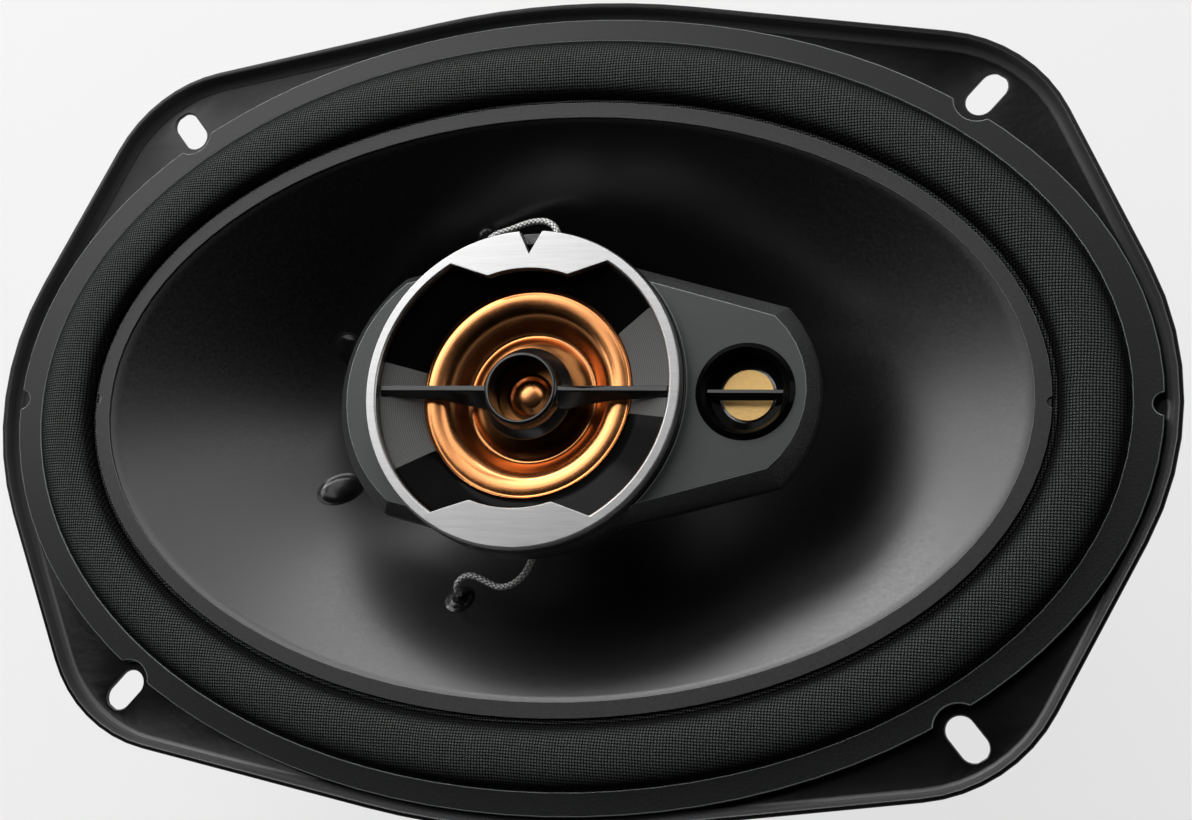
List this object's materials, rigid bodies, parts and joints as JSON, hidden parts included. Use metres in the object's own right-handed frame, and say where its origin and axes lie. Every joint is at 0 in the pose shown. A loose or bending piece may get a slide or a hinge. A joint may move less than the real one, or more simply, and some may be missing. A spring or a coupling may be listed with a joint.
{
  "type": "coaxial car speaker",
  "caption": "Oval coaxial car speaker: pressed basket, gasket, woven surround, cone, ferrite motor, and a bridge with a tweeter and a super tweeter.",
  "frame": {"origin": "centre of the oval flange, in the plane of its underside, which is the panel that the speaker is screwed to", "axes": "+Z along the speaker's axis towards the listener; +X along the oval's long axis, with the super tweeter on that side; +Y along its short axis, with the trim ring's notch on that side"},
  "size_m": [0.236, 0.1644, 0.0945],
  "materials": {
    "basket_steel": "satin",
    "gasket_foam": "matte",
    "surround_cloth": "matte",
    "spider_cloth": "matte",
    "plated_steel": "satin",
    "ferrite": "matte",
    "rivet_steel": "satin",
    "board_phenolic": "matte",
    "terminal_brass": "satin",
    "braid": "matte",
    "bridge_plastic": "satin",
    "housing_plastic": "satin",
    "trim_aluminium": "brushed",
    "bezel_plastic": "gloss",
    "diaphragm_film": "metallised gloss",
    "disc_film": "satin",
    "coil_copper": "satin",
    "neodymium": "satin",
    "capacitor_sleeve": "gloss",
    "cone_polymer": "satin",
    "ring_polymer": "satin",
    "former_film": "satin",
    "seal_felt": "matte",
    "glue": "satin"
  },
  "bodies": {
    "frame": {"basket_frame": "basket_steel", "gasket": "gasket_foam", "surround": "surround_cloth", "spider": "spider_cloth", "front_plate": "plated_steel", "magnet": "ferrite", "yoke": "plated_steel", "frame_rivets": "rivet_steel", "terminal_board": "board_phenolic", "terminal_rivet": "rivet_steel", "positive_blade": "terminal_brass", "negative_blade": "terminal_brass", "bridge_post": "bridge_plastic", "bridge_screw": "rivet_steel", "bridge_base": "bridge_plastic", "base_screws": "rivet_steel", "bridge_housing": "housing_plastic", "trim_ring": "trim_aluminium", "bezel": "bezel_plastic", "diaphragm_rim": "diaphragm_film", "tweeter_pole": "plated_steel", "tweeter_magnet": "neodymium", "tweeter_yoke": "plated_steel", "crossbar": "bridge_plastic", "super_tweeter_cup": "bezel_plastic", "super_tweeter_bar": "bridge_plastic", "super_tweeter_magnet": "neodymium", "super_tweeter_yoke": "plated_steel", "capacitors": "capacitor_sleeve", "upper_lead": "braid", "lower_lead": "braid"},
    "cone_assembly": {"cone": "cone_polymer", "cone_ring": "ring_polymer", "coil_former": "former_film", "voice_coil": "coil_copper", "dust_seal": "seal_felt", "lead_eyelets": "glue", "glue_patches": "glue"},
    "tweeter_diaphragm_assembly": {"tweeter_diaphragm": "diaphragm_film", "tweeter_coil": "coil_copper"},
    "super_tweeter_disc_assembly": {"super_tweeter_disc": "disc_film", "super_tweeter_coil": "coil_copper"}
  },
  "joints": [
    {"name": "cone_slide", "type": "slide", "parent": "frame", "child": "cone_assembly", "axis": [0, 0, 1], "range_m": [-0.004, 0.004], "stiffness_N_per_m": 2000, "deforming": ["surround", "spider", "upper_lead", "lower_lead"]},
    {"name": "tweeter_slide", "type": "slide", "parent": "frame", "child": "tweeter_diaphragm_assembly", "axis": [0, 0, 1], "range_m": [-0.0003, 0.0003], "stiffness_N_per_m": 100},
    {"name": "super_tweeter_slide", "type": "slide", "parent": "frame", "child": "super_tweeter_disc_assembly", "axis": [0, 0, 1], "range_m": [-0.00015, 0.00015], "stiffness_N_per_m": 50}
  ]
}
